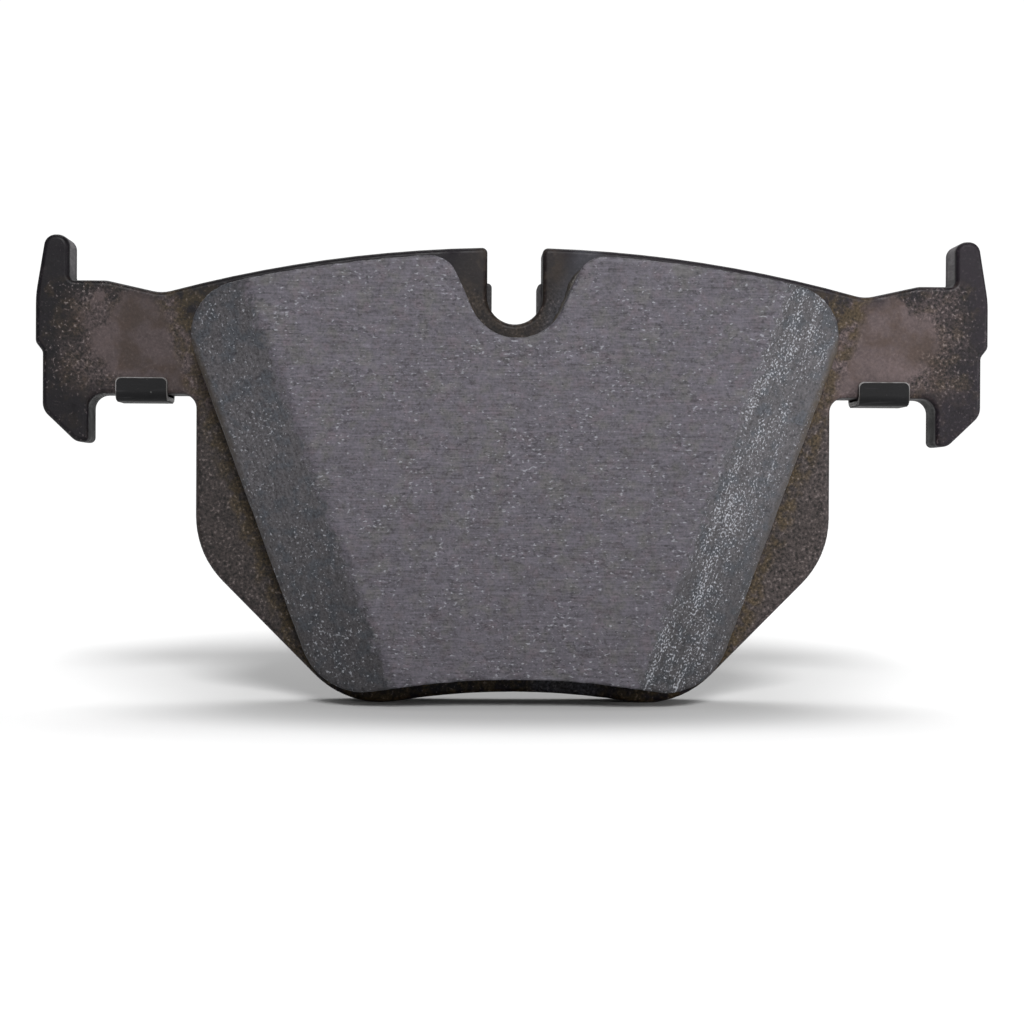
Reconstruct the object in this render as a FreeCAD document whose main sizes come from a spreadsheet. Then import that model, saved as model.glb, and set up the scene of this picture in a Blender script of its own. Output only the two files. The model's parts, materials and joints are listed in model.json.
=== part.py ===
import FreeCAD, Part
import math
import os

import Sketcher

# Disc brake pad with hammerhead ears, in millimetres.
# X runs along the pad, Z points up away from the axle, and the friction face looks toward -Y.
# The origin is on the outer face of the rear shim, in the middle of the pad. All heights below
# are measured from the two lobes at the bottom of the backing plate, which it can stand on.

DRIVING_SIZES = [
    # Backing plate, overall
    ("overall_width", 122.9, "across the ears, between the abutment flanks"),
    ("arch_height", 58.7, "from the lowest points to the top of the arch"),
    ("plate_thickness", 6.0, "fine-blanked plate"),
    ("top_radius", 168.0, "arch along the top edge"),
    ("bottom_radius", 94.0, "hollow arch along the bottom edge"),
    ("bottom_rise", 1.37, "height of the bottom edge in the middle"),
    # Ears, from the flank inward
    ("ear_gap", 13.75, "clear width under an ear, from the body to the lower prong"),
    ("lower_prong_width", 5.9, "prong below the ear"),
    ("flank_step", 0.92, "the lower flank stands this far inside the upper one"),
    ("upper_prong_width", 4.3, "prong above the ear, at its foot"),
    ("upper_prong_lean", 1.25, "how far the flank leans in at the tip"),
    ("lower_prong_bevel", 4.3, "width of the bevel at the tip of the lower prong"),
    ("lower_bevel_height", 4.1, "height of that bevel"),
    ("valley_offset", 4.4, "from the side of the body out to the valley above it"),
    ("ramp_offset", 11.5, "from the side of the body out to the top of the ramp"),
    # Ears, from the valley beside the arch
    ("ramp_rise", 1.57, "top of the ear above the valley"),
    ("ear_height", 14.55, "height of the neck of the ear"),
    ("upper_prong_rise", 5.85, "upper prong above the ear"),
    ("lower_prong_drop", 6.2, "lower prong below the ear"),
    ("flank_top_drop", 1.85, "start of the lean below the top of the ear"),
    ("flank_height", 6.1, "upright part of the upper flank"),
    ("flank_step_height", 1.2, "height of the slope between the two flanks"),
    # Lower body
    ("side_corner_height", 19.0, "where the side turns into the slope"),
    ("lower_slope_width", 19.85, "width of the slope down to the lobe"),
    # Corner radii of the plate
    ("lobe_round", 12.0, "lobes that the pad stands on"),
    ("side_round", 12.0, "side to slope"),
    ("valley_round", 5.0, "valley above the body"),
    ("ramp_round", 3.0, "top of the ramp"),
    ("ear_root_round", 1.8, "inner corners of the ear"),
    ("prong_foot_round", 0.8, "inner foot of the upper prong"),
    ("prong_tip_round", 1.5, "tip of the upper prong"),
    ("prong_end_round", 0.7, "tip of the lower prong, inner corner"),
    ("bevel_end_round", 1.8, "tip of the lower prong, into its bevel"),
    ("bevel_round", 2.2, "lower flank into the bevel"),
    ("flank_round", 1.0, "slope between the flanks"),
    ("lean_round", 14.0, "flank into its lean"),
    ("die_roll", 0.65, "rounded front edge, from blanking"),
    ("rear_edge_break", 0.2, "broken rear edge"),
    # Notch for the wear sensor
    ("notch_width", 7.12, "clear width of the notch"),
    ("notch_depth", 9.9, "below the top of the arch"),
    ("notch_mouth_round", 0.7, "corners of the mouth"),
    ("guide_gap", 5.9, "between the two coined guide ribs"),
    ("guide_top_depth", 4.45, "top of the ribs below the top of the arch"),
    ("guide_setback", 2.4, "the ribs stay this far behind the front face"),
    ("guide_round", 0.6, "upper inner corner of a rib"),
    # Moulding holes and half-pierced pips
    ("key_diameter", 9.0, "moulding hole"),
    ("upper_key_spacing", 36.0, "between the two upper holes"),
    ("upper_key_height", 37.0, "height of the upper holes"),
    ("lower_key_spacing", 20.0, "between the two lower holes"),
    ("lower_key_height", 14.0, "height of the lower holes"),
    ("key_recess", 0.4, "the moulded keys stop this far inside the rear face"),
    ("pip_diameter", 5.8, "locating pip on the rear face"),
    ("pip_height", 0.65, "lower than the shim is thick"),
    ("pip_inset", 13.0, "from the side of the body"),
    ("pip_level", 25.0, "height of the pips"),
    ("dimple_diameter", 6.2, "hollow in front of a pip"),
    ("dimple_depth", 0.9, "depth of that hollow"),
    # Friction lining, measured from the plate
    ("adhesive_film", 0.15, "cured bonding film"),
    ("underlayer_thickness", 2.0, "insulating layer"),
    ("block_thickness", 8.3, "friction material"),
    ("lining_top_margin", 1.85, "plate showing above the lining"),
    ("lining_bottom_margin", 2.4, "plate showing below the lining"),
    ("lining_top_reach", 2.0, "upper corner outside the side of the body"),
    ("lining_bottom_reach", 3.2, "lower corner outside the corner of the lobe"),
    ("lining_top_round", 6.5, "upper corners"),
    ("lining_bottom_round", 8.0, "lower corners"),
    ("relief_clearance", 2.5, "lining cut back round the notch"),
    ("relief_flare", 24.0, "degrees, each side of the relief"),
    ("relief_mouth_round", 3.7, "corners of its mouth"),
    ("chamfer_width", 9.8, "end chamfers, across"),
    ("chamfer_depth", 3.5, "end chamfers, into the block"),
    # Rear shim
    ("shim_glue", 0.1, "pressure-sensitive adhesive"),
    ("inner_coat", 0.1, "rubber on the plate side"),
    ("core_sheet", 0.5, "steel core"),
    ("outer_coat", 0.15, "rubber on the outside"),
    ("shim_inset", 2.0, "inside the edge of the plate"),
    ("shim_side_round", 10.5, "side to slope"),
    ("shim_lobe_round", 8.0, "lower corners"),
    ("shim_valley_inset", 1.0, "end of the arch, inside the valley"),
    ("arm_end_gap", 2.8, "from the lower prong"),
    ("arm_bottom_rise", 1.8, "lower edge of the arm above the ear's"),
    ("arm_round", 1.8, "corners of the arm"),
    ("shim_notch_clearance", 1.5, "round the sensor notch"),
    ("pip_hole_clearance", 0.3, "round a pip, on the radius"),
    ("tab_width", 6.6, "clip tab"),
    ("tab_relief", 1.4, "round relief at each side of a tab's root"),
    ("tab_gap", 0.15, "under the ear, beside the layers' own offset"),
    ("tab_bend_radius", 0.5, "inside of the bends"),
    ("tab_hook", 2.1, "hook above the lower edge of the ear"),
    ("tab_corner_round", 0.65, "upper corners of the hook"),
    ("coat_setback", 0.12, "sheared edges of the core left bare"),
]


class Size:
    """A length in millimetres that knows the expression the document keeps for it."""

    def __init__(self, text, value):
        self.text = text
        self.value = value

    def __add__(self, other):
        other = as_size(other)
        return Size(f"({self.text} + {other.text})", self.value + other.value)

    def __sub__(self, other):
        other = as_size(other)
        return Size(f"({self.text} - {other.text})", self.value - other.value)

    def __mul__(self, other):
        other = as_size(other)
        return Size(f"({self.text} * {other.text})", self.value * other.value)

    def __truediv__(self, other):
        other = as_size(other)
        return Size(f"({self.text} / {other.text})", self.value / other.value)

    def __neg__(self):
        return Size(f"(0 - {self.text})", -self.value)


def as_size(number):
    return number if isinstance(number, Size) else Size(f"{number}", number)


def root(size):
    return Size(f"sqrt({size.text})", math.sqrt(size.value))


def sine(degrees):
    return Size(f"sin({degrees.text} * 1 deg)", math.sin(math.radians(degrees.value)))


def cosine(degrees):
    return Size(f"cos({degrees.text} * 1 deg)", math.cos(math.radians(degrees.value)))


def arc_height(centre, radius, across):
    """Height of a circle of that radius, centred on the middle line, at a distance across."""
    return centre + root(radius * radius - across * across)


def make_sheet(doc):
    """Put every driving size in its own cell and return them by name."""
    sheet = doc.addObject("Spreadsheet::Sheet", "Sizes")
    sizes = {}
    for row, (name, value, meaning) in enumerate(DRIVING_SIZES, start=1):
        sheet.set(f"A{row}", meaning)
        sheet.set(f"B{row}", f"{value}")
        sheet.setAlias(f"B{row}", name)
        sizes[name] = Size(f"Sizes.{name}", value)
    doc.recompute()
    return sizes


doc = FreeCAD.newDocument("brake_pad")
S = make_sheet(doc)

# Heights and distances that several pieces share
ORIGIN_HEIGHT = S["arch_height"] / 2
BODY_SIDE = S["overall_width"] / 2 - S["flank_step"] - S["lower_prong_width"] - S["ear_gap"]
FLANK = S["overall_width"] / 2
LOWER_FLANK = FLANK - S["flank_step"]
LOWER_PRONG = LOWER_FLANK - S["lower_prong_width"]
LOBE = BODY_SIDE - S["lower_slope_width"]
VALLEY = BODY_SIDE + S["valley_offset"]
TOP_CENTRE = S["arch_height"] - S["top_radius"]
BOTTOM_CENTRE = S["bottom_rise"] - S["bottom_radius"]
EAR_TOP = arc_height(TOP_CENTRE, S["top_radius"], VALLEY) + S["ramp_rise"]
EAR_BOTTOM = EAR_TOP - S["ear_height"]
NOTCH_CENTRE = S["arch_height"] - S["notch_depth"] + S["notch_width"] / 2
SHIM_STACK = S["shim_glue"] + S["inner_coat"] + S["core_sheet"] + S["outer_coat"]
PLATE_FRONT = SHIM_STACK + S["plate_thickness"]
ABOVE_ALL = S["arch_height"] + S["upper_prong_rise"]
TAB_MIDDLE = (BODY_SIDE + LOWER_PRONG) / 2
ARM_BOTTOM = EAR_BOTTOM + S["arm_bottom_rise"]

CCW = 1
CW = -1


def mirrored(right_half):
    """Corners of a closed outline, from its right half listed upward."""
    return right_half + [(-across, height) for across, height in reversed(right_half)]


def new_body(label, behind):
    """A body whose rear plane lies at a distance behind the origin, toward -Y."""
    body = doc.addObject("PartDesign::Body", label)
    body.Label = label
    body.setExpression("Placement.Base.y", (-behind).text)
    body.setExpression("Placement.Base.z", (-ORIGIN_HEIGHT).text)
    return body


def new_sketch(body, name, plane, offset=None):
    """An empty sketch on one of the body's own origin planes, moved along its normal."""
    sketch = body.newObject("Sketcher::SketchObject", name)
    origin_plane = next(p for p in body.Origin.OriginFeatures if p.Role == plane)
    sketch.AttachmentSupport = [(origin_plane, "")]
    sketch.MapMode = "FlatFace"
    if offset is not None:
        sketch.setExpression("AttachmentOffset.Base.z", offset.text)
    return sketch


def bind(sketch, kind, *elements, size):
    """Add a dimension and tie it to the sheet."""
    index = sketch.addConstraint(Sketcher.Constraint(kind, *elements, size.value))
    sketch.setExpression(f"Constraints[{index}]", size.text)


def place_point(sketch, geometry, position, across, height):
    """Dimension a point from the sketch's own origin."""
    bind(sketch, "DistanceX", -1, 1, geometry, position, size=as_size(across))
    bind(sketch, "DistanceY", -1, 1, geometry, position, size=as_size(height))


def arc_edge(start, end, centre, turn):
    """Arc from start to end; FreeCAD's arcs run counter-clockwise, so CW swaps its ends."""
    first, last = (start, end) if turn == CCW else (end, start)
    angles = [math.atan2(point.y - centre.y, point.x - centre.x) for point in (first, last)]
    circle = Part.Circle(centre, FreeCAD.Vector(0, 0, 1), centre.distanceToPoint(first))
    return Part.ArcOfCircle(circle, angles[0], angles[1])


def draw_outline(sketch, corners, arcs=None):
    """Closed outline through the corners, every corner dimensioned.

    arcs gives, for the edge that leaves a corner, the arc's centre and its turn.
    """
    arcs = arcs or {}
    points = [FreeCAD.Vector(as_size(a).value, as_size(b).value, 0) for a, b in corners]
    count = len(points)
    ends = []
    for index, start in enumerate(points):
        end = points[(index + 1) % count]
        if index in arcs:
            (across, height), turn = arcs[index]
            centre = FreeCAD.Vector(as_size(across).value, as_size(height).value, 0)
            edge = sketch.addGeometry(arc_edge(start, end, centre, turn), False)
            ends.append((edge, 1, 2) if turn == CCW else (edge, 2, 1))
        else:
            edge = sketch.addGeometry(Part.LineSegment(start, end), False)
            ends.append((edge, 1, 2))
    for index, (edge, _, last) in enumerate(ends):
        following, first, _ = ends[(index + 1) % count]
        sketch.addConstraint(Sketcher.Constraint("Coincident", edge, last, following, first))
    for (edge, first, _), (across, height) in zip(ends, corners):
        place_point(sketch, edge, first, across, height)
    for index, ((_, height), _) in arcs.items():
        bind(sketch, "DistanceY", -1, 1, ends[index][0], 3, size=as_size(height))


def draw_circles(sketch, centres, diameter):
    """Equal circles, each centre dimensioned."""
    for index, (across, height) in enumerate(centres):
        centre = FreeCAD.Vector(across.value, height.value, 0)
        circle = Part.Circle(centre, FreeCAD.Vector(0, 0, 1), diameter.value / 2)
        edge = sketch.addGeometry(circle, False)
        place_point(sketch, edge, 3, across, height)
        if index == 0:
            bind(sketch, "Diameter", edge, size=diameter)
        else:
            sketch.addConstraint(Sketcher.Constraint("Equal", 0, edge))


def extrude(body, kind, sketch, length, backward=False, both_ways=False):
    """Pad or Pocket of a sketch, and a check that it did change the solid."""
    before = body.Shape.Volume if not body.Shape.isNull() else 0.0
    feature = body.newObject(f"PartDesign::{kind}", f"{sketch.Name}_{kind}")
    feature.Profile = sketch
    feature.setExpression("Length", length.text)
    feature.Reversed = backward
    feature.Midplane = both_ways
    sketch.Visibility = False
    doc.recompute()
    if abs(body.Shape.Volume - before) < 1e-6:
        raise RuntimeError(f"{feature.Name} changed nothing")
    return feature


def edges_along_y(shape, places):
    """Names of the edges parallel to Y that lie nearest to the given places."""
    lines = []
    for number, edge in enumerate(shape.Edges, start=1):
        first, last = edge.Vertexes[0].Point, edge.Vertexes[-1].Point
        if math.hypot(first.x - last.x, first.z - last.z) < 1e-6 and abs(first.y - last.y) > 1e-3:
            lines.append((f"Edge{number}", first))
    names = []
    for across, height in places:
        gaps = [(math.hypot(at.x - across.value, at.z - height.value), name) for name, at in lines]
        names.append(min(gaps)[1])
    return names


def dress(body, kind, base, edges, size):
    """Fillet or Chamfer on named edges of the base feature."""
    feature = body.newObject(f"PartDesign::{kind}", f"{base.Name}_{kind}")
    feature.Base = (base, edges)
    feature.setExpression("Radius" if kind == "Fillet" else "Size", size.text)
    doc.recompute()
    return feature


def round_corners(body, base, places, radius):
    """Round the corners at these places and at their mirror images."""
    both = places + [(-across, height) for across, height in places]
    return dress(body, "Fillet", base, edges_along_y(base.Shape, both), radius)


def mirror(body, original):
    """Repeat a feature on the other side of the middle plane."""
    feature = body.newObject("PartDesign::Mirrored", f"{original.Name}_mirror")
    feature.Originals = [original]
    middle = next(p for p in body.Origin.OriginFeatures if p.Role == "YZ_Plane")
    feature.MirrorPlane = (middle, [""])
    body.Tip = feature
    doc.recompute()
    return feature


def face_outline(shape, depth):
    """Names of the edges that lie in the plane y = depth."""
    names = []
    for number, edge in enumerate(shape.Edges, start=1):
        box = edge.BoundBox
        if abs(box.YMin - depth) < 1e-4 and abs(box.YMax - depth) < 1e-4:
            names.append(f"Edge{number}")
    return names


# ---------------------------------------------------------------- backing plate

def plate_corners():
    """Right half of the plate's outline, upward from the lobe."""
    prong_top = EAR_TOP + S["upper_prong_rise"]
    prong_bottom = EAR_BOTTOM - S["lower_prong_drop"]
    flank_top = EAR_TOP - S["flank_top_drop"]
    flank_bottom = flank_top - S["flank_height"]
    return {
        "lobe": (LOBE, arc_height(BOTTOM_CENTRE, S["bottom_radius"], LOBE)),
        "side": (BODY_SIDE, S["side_corner_height"]),
        "ear_root": (BODY_SIDE, EAR_BOTTOM),
        "prong_root": (LOWER_PRONG, EAR_BOTTOM),
        "prong_end_inner": (LOWER_PRONG, prong_bottom),
        "prong_end_outer": (LOWER_FLANK - S["lower_prong_bevel"], prong_bottom),
        "lower_flank_bottom": (LOWER_FLANK, prong_bottom + S["lower_bevel_height"]),
        "lower_flank_top": (LOWER_FLANK, flank_bottom - S["flank_step_height"]),
        "flank_bottom": (FLANK, flank_bottom),
        "flank_top": (FLANK, flank_top),
        "prong_tip_outer": (FLANK - S["upper_prong_lean"], prong_top),
        "prong_tip_inner": (FLANK - S["upper_prong_width"], prong_top),
        "prong_foot": (FLANK - S["upper_prong_width"], EAR_TOP),
        "ramp": (BODY_SIDE + S["ramp_offset"], EAR_TOP),
        "valley": (VALLEY, arc_height(TOP_CENTRE, S["top_radius"], VALLEY)),
    }


def key_places():
    upper = S["upper_key_spacing"] / 2
    lower = S["lower_key_spacing"] / 2
    return [
        (upper, S["upper_key_height"]),
        (-upper, S["upper_key_height"]),
        (lower, S["lower_key_height"]),
        (-lower, S["lower_key_height"]),
    ]


def pip_places():
    across = BODY_SIDE - S["pip_inset"]
    return [(across, S["pip_level"]), (-across, S["pip_level"])]


def backing_plate():
    """Blanked plate: outline, notch, rounded edges, guide ribs, moulding holes and pips."""
    body = new_body("backing_plate", SHIM_STACK)
    thickness = S["plate_thickness"]
    at = plate_corners()
    right = list(at.values())

    blank = new_sketch(body, "plate_outline", "XZ_Plane")
    arcs = {
        len(right) - 1: ((0, TOP_CENTRE), CCW),
        2 * len(right) - 1: ((0, BOTTOM_CENTRE), CW),
    }
    draw_outline(blank, mirrored(right), arcs)
    step = extrude(body, "Pad", blank, thickness)

    rounds = [
        ("lobe_round", ["lobe"]),
        ("side_round", ["side"]),
        ("valley_round", ["valley"]),
        ("ramp_round", ["ramp"]),
        ("ear_root_round", ["ear_root", "prong_root"]),
        ("prong_foot_round", ["prong_foot"]),
        ("prong_tip_round", ["prong_tip_outer", "prong_tip_inner"]),
        ("prong_end_round", ["prong_end_inner"]),
        ("bevel_end_round", ["prong_end_outer"]),
        ("bevel_round", ["lower_flank_bottom"]),
        ("flank_round", ["lower_flank_top", "flank_bottom"]),
        ("lean_round", ["flank_top"]),
    ]
    for radius, corners in rounds:
        step = round_corners(body, step, [at[name] for name in corners], S[radius])

    half_notch = S["notch_width"] / 2
    slot = new_sketch(body, "sensor_notch", "XZ_Plane")
    slot_side = [(half_notch, NOTCH_CENTRE), (half_notch, ABOVE_ALL)]
    draw_outline(slot, mirrored(slot_side), {3: ((0, NOTCH_CENTRE), CCW)})
    step = extrude(body, "Pocket", slot, thickness, backward=True)
    mouth = (half_notch, arc_height(TOP_CENTRE, S["top_radius"], half_notch))
    step = round_corners(body, step, [mouth], S["notch_mouth_round"])

    # The die pulls the front edge round; the rear edge is only broken.
    front_edges = face_outline(step.Shape, -thickness.value)
    step = dress(body, "Fillet", step, front_edges, S["die_roll"])
    rear_edges = face_outline(step.Shape, 0.0)
    step = dress(body, "Chamfer", step, rear_edges, S["rear_edge_break"])

    # Two coined ribs in the lower half of the notch hold the sensor.
    half_gap = S["guide_gap"] / 2
    rib_top = S["arch_height"] - S["guide_top_depth"]
    into_wall = half_notch + S["rear_edge_break"]
    rib = new_sketch(body, "guide_rib", "XZ_Plane")
    draw_outline(rib, [
        (half_gap, NOTCH_CENTRE - half_gap),
        (into_wall, NOTCH_CENTRE - half_gap),
        (into_wall, rib_top),
        (half_gap, rib_top),
    ])
    step = extrude(body, "Pad", rib, thickness - S["guide_setback"])
    step = mirror(body, step)
    step = round_corners(body, step, [(half_gap, rib_top)], S["guide_round"])

    holes = new_sketch(body, "moulding_holes", "XZ_Plane")
    draw_circles(holes, key_places(), S["key_diameter"])
    extrude(body, "Pocket", holes, thickness, backward=True)

    dimples = new_sketch(body, "dimples", "XZ_Plane", offset=thickness)
    draw_circles(dimples, pip_places(), S["dimple_diameter"])
    extrude(body, "Pocket", dimples, S["dimple_depth"])

    pips = new_sketch(body, "pips", "XZ_Plane")
    draw_circles(pips, pip_places(), S["pip_diameter"])
    extrude(body, "Pad", pips, S["pip_height"], backward=True)
    return body


# ---------------------------------------------------------------- friction lining

def lining_corners():
    """Right half of the lining's outline: lower and upper end of the slanted end wall."""
    bottom = LOBE + S["lining_bottom_reach"]
    top = BODY_SIDE + S["lining_top_reach"]
    bottom_radius = S["bottom_radius"] + S["lining_bottom_margin"]
    top_radius = S["top_radius"] - S["lining_top_margin"]
    return [
        (bottom, arc_height(BOTTOM_CENTRE, bottom_radius, bottom)),
        (top, arc_height(TOP_CENTRE, top_radius, top)),
    ]


def lining_layer(label, behind, thickness):
    """A layer with the lining's outline, cut back round the sensor notch."""
    body = new_body(label, behind)
    lower, upper = lining_corners()
    outline = new_sketch(body, f"{label}_outline", "XZ_Plane")
    arcs = {1: ((0, TOP_CENTRE), CCW), 3: ((0, BOTTOM_CENTRE), CW)}
    draw_outline(outline, mirrored([lower, upper]), arcs)
    step = extrude(body, "Pad", outline, thickness)
    step = round_corners(body, step, [lower], S["lining_bottom_round"])
    step = round_corners(body, step, [upper], S["lining_top_round"])

    radius = S["notch_width"] / 2 + S["relief_clearance"]
    flare = S["relief_flare"]
    foot = (radius * cosine(flare), NOTCH_CENTRE - radius * sine(flare))
    slant = sine(flare) / cosine(flare)
    mouth = (foot[0] + slant * (ABOVE_ALL - foot[1]), ABOVE_ALL)
    relief = new_sketch(body, f"{label}_relief", "XZ_Plane")
    draw_outline(relief, mirrored([foot, mouth]), {3: ((0, NOTCH_CENTRE), CCW)})
    step = extrude(body, "Pocket", relief, thickness, backward=True)
    top = S["arch_height"] - S["lining_top_margin"]
    lip = (foot[0] + slant * (top - foot[1]), top)
    round_corners(body, step, [lip], S["relief_mouth_round"])
    return body


def bonding_adhesive():
    """Thin cured film, open where the underlayer goes through into the plate."""
    body = lining_layer("bonding_adhesive", PLATE_FRONT, S["adhesive_film"])
    for name, places, diameter in (
        ("film_key_holes", key_places(), S["key_diameter"]),
        ("film_dimple_holes", pip_places(), S["dimple_diameter"]),
    ):
        sketch = new_sketch(body, name, "XZ_Plane")
        draw_circles(sketch, places, diameter)
        extrude(body, "Pocket", sketch, S["adhesive_film"], backward=True)
    return body


def underlayer():
    """Insulating layer whose keys fill the moulding holes and the dimples of the plate."""
    body = lining_layer("underlayer", PLATE_FRONT + S["adhesive_film"], S["underlayer_thickness"])
    key_length = S["adhesive_film"] + S["plate_thickness"] - S["key_recess"]
    dimple_length = S["adhesive_film"] + S["dimple_depth"]
    for name, places, diameter, length in (
        ("moulded_keys", key_places(), S["key_diameter"], key_length),
        ("dimple_fill", pip_places(), S["dimple_diameter"], dimple_length),
    ):
        sketch = new_sketch(body, name, "XZ_Plane")
        draw_circles(sketch, places, diameter)
        extrude(body, "Pad", sketch, length, backward=True)
    return body


def friction_block():
    """Friction material with a long chamfer along each slanted end."""
    behind = PLATE_FRONT + S["adhesive_film"] + S["underlayer_thickness"]
    thickness = S["block_thickness"]
    body = lining_layer("friction_block", behind, thickness)

    # The section lies square to the end wall, so its sketch turns about Y with the wall.
    (low_x, low_z), (top_x, top_z) = lining_corners()
    width = S["chamfer_width"]
    section = new_sketch(body, "chamfer_section", "XY_Plane")
    slope = (top_x - low_x) / (top_z - low_z)
    angle = math.degrees(math.atan(slope.value))
    turn = FreeCAD.Rotation(FreeCAD.Vector(0, 1, 0), angle)
    foot = FreeCAD.Vector(low_x.value, 0, low_z.value)
    section.AttachmentOffset = FreeCAD.Placement(foot, turn)
    section.setExpression("AttachmentOffset.Base.x", low_x.text)
    section.setExpression("AttachmentOffset.Base.z", low_z.text)
    section.setExpression("AttachmentOffset.Rotation.Angle", f"atan({slope.text})")
    draw_outline(section, [
        (-width, -thickness),
        (width, -thickness),
        (width, S["chamfer_depth"] * 2 - thickness),
    ])
    cut = extrude(body, "Pocket", section, ABOVE_ALL * 4, both_ways=True)
    mirror(body, cut)
    return body


# ---------------------------------------------------------------- rear shim

def half_turn_tangent():
    """Tangent of half the turn from the plate's side into its slope."""
    lobe_height = arc_height(BOTTOM_CENTRE, S["bottom_radius"], LOBE)
    rise = S["side_corner_height"] - lobe_height
    run = S["lower_slope_width"]
    return (root(run * run + rise * rise) - rise) / run


def shim_sheet(label, near, far):
    """Flat layer between two distances behind the plate, with notch and pip holes."""
    body = new_body(label, SHIM_STACK)
    thickness = far - near
    inset = S["shim_inset"]
    side = BODY_SIDE - inset
    arch_end = VALLEY - S["shim_valley_inset"]
    arm_end = LOWER_PRONG - S["arm_end_gap"]
    arm_top = arc_height(TOP_CENTRE, S["top_radius"] - inset, arch_end)
    lobe = (LOBE, arc_height(BOTTOM_CENTRE, S["bottom_radius"] + inset, LOBE))
    corner = (side, S["side_corner_height"] + inset * half_turn_tangent())
    arm = [(side, ARM_BOTTOM), (arm_end, ARM_BOTTOM), (arm_end, arm_top)]
    outline = new_sketch(body, f"{label}_outline", "XZ_Plane", offset=-far)
    arcs = {5: ((0, TOP_CENTRE), CCW), 11: ((0, BOTTOM_CENTRE), CW)}
    draw_outline(outline, mirrored([lobe, corner] + arm + [(arch_end, arm_top)]), arcs)
    step = extrude(body, "Pad", outline, thickness)
    step = round_corners(body, step, [lobe], S["shim_lobe_round"])
    step = round_corners(body, step, [corner], S["shim_side_round"])
    step = round_corners(body, step, arm, S["arm_round"])

    radius = S["notch_width"] / 2 + S["shim_notch_clearance"]
    slot = new_sketch(body, f"{label}_notch", "XZ_Plane", offset=-far)
    slot_side = [(radius, NOTCH_CENTRE), (radius, ABOVE_ALL)]
    draw_outline(slot, mirrored(slot_side), {3: ((0, NOTCH_CENTRE), CCW)})
    extrude(body, "Pocket", slot, thickness, backward=True)

    holes = new_sketch(body, f"{label}_pip_holes", "XZ_Plane", offset=-far)
    draw_circles(holes, pip_places(), S["pip_diameter"] + S["pip_hole_clearance"] * 2)
    extrude(body, "Pocket", holes, thickness, backward=True)

    reliefs = new_sketch(body, f"{label}_tab_reliefs", "XZ_Plane", offset=-far)
    beside_tab = S["tab_width"] / 2 + S["tab_relief"] / 2
    across = [TAB_MIDDLE - beside_tab, TAB_MIDDLE + beside_tab]
    draw_circles(reliefs, mirrored([(x, ARM_BOTTOM) for x in across]), S["tab_relief"])
    extrude(body, "Pocket", reliefs, thickness, backward=True)
    return body


def add_tabs(body, near, far, setback):
    """Fold a layer round the lower edge of each ear and up in front of it.

    The section lies across the ear. Every layer bends about the same two centres.
    """
    front = -S["plate_thickness"]
    bend = S["tab_bend_radius"]
    glue = S["shim_glue"]
    level = EAR_BOTTOM - S["tab_gap"] - glue + bend
    rear_bend = (glue - bend, level)
    front_bend = (front - glue + bend, level)
    below = EAR_BOTTOM - S["tab_gap"]
    root_top = ARM_BOTTOM + S["arm_bottom_rise"]
    hook_top = EAR_BOTTOM + S["tab_hook"] - setback
    section = new_sketch(body, f"{body.Label}_tab", "YZ_Plane", offset=TAB_MIDDLE)
    draw_outline(section, [
        (far, root_top),
        (near, root_top),
        (near, level),
        (rear_bend[0], below - near),
        (front_bend[0], below - near),
        (front - near, level),
        (front - near, hook_top),
        (front - far, hook_top),
        (front - far, level),
        (front_bend[0], below - far),
        (rear_bend[0], below - far),
        (far, level),
    ], {
        2: (rear_bend, CW),
        4: (front_bend, CW),
        8: (front_bend, CCW),
        10: (rear_bend, CCW),
    })
    width = S["tab_width"] - setback * 2
    tab = extrude(body, "Pad", section, width, both_ways=True)
    tab = mirror(body, tab)
    corners = [(TAB_MIDDLE - width / 2, hook_top), (TAB_MIDDLE + width / 2, hook_top)]
    round_corners(body, tab, corners, S["tab_corner_round"])


def shim():
    """The glue and the three layers of the rear shim, from the plate outward."""
    glue_face = S["shim_glue"]
    inner_face = glue_face + S["inner_coat"]
    core_face = inner_face + S["core_sheet"]
    outer_face = core_face + S["outer_coat"]
    bodies = [shim_sheet("shim_adhesive", as_size(0), glue_face)]
    for label, near, far, setback in (
        ("shim_inner_rubber", glue_face, inner_face, S["coat_setback"]),
        ("shim_core", inner_face, core_face, as_size(0)),
        ("shim_outer_rubber", core_face, outer_face, S["coat_setback"]),
    ):
        body = shim_sheet(label, near, far)
        add_tabs(body, near, far, setback)
        bodies.append(body)
    return bodies


# ---------------------------------------------------------------- build, check, write

def check(bodies):
    for thing in doc.Objects:
        if "Invalid" in thing.State or "Error" in thing.State:
            raise RuntimeError(f"{thing.Label} did not rebuild: {thing.State}")
    for body in bodies:
        if body.Shape.isNull() or not body.Shape.isValid():
            raise RuntimeError(f"{body.Label} has no valid shape")
        if len(body.Shape.Solids) != 1:
            raise RuntimeError(f"{body.Label} is not one solid")


bodies = [backing_plate(), bonding_adhesive(), underlayer(), friction_block()] + shim()
doc.recompute()
check(bodies)

os.makedirs("parts", exist_ok=True)
for body in bodies:
    body.Shape.exportStep(f"parts/{body.Label}.step")
    print(f"{body.Label:20s} {body.Shape.Volume:10.1f} mm3")
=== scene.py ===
"""The visual model of a disc brake pad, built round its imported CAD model."""

import json
import math

import bmesh
import bpy
import numpy as np
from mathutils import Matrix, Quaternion, Vector, noise


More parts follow.
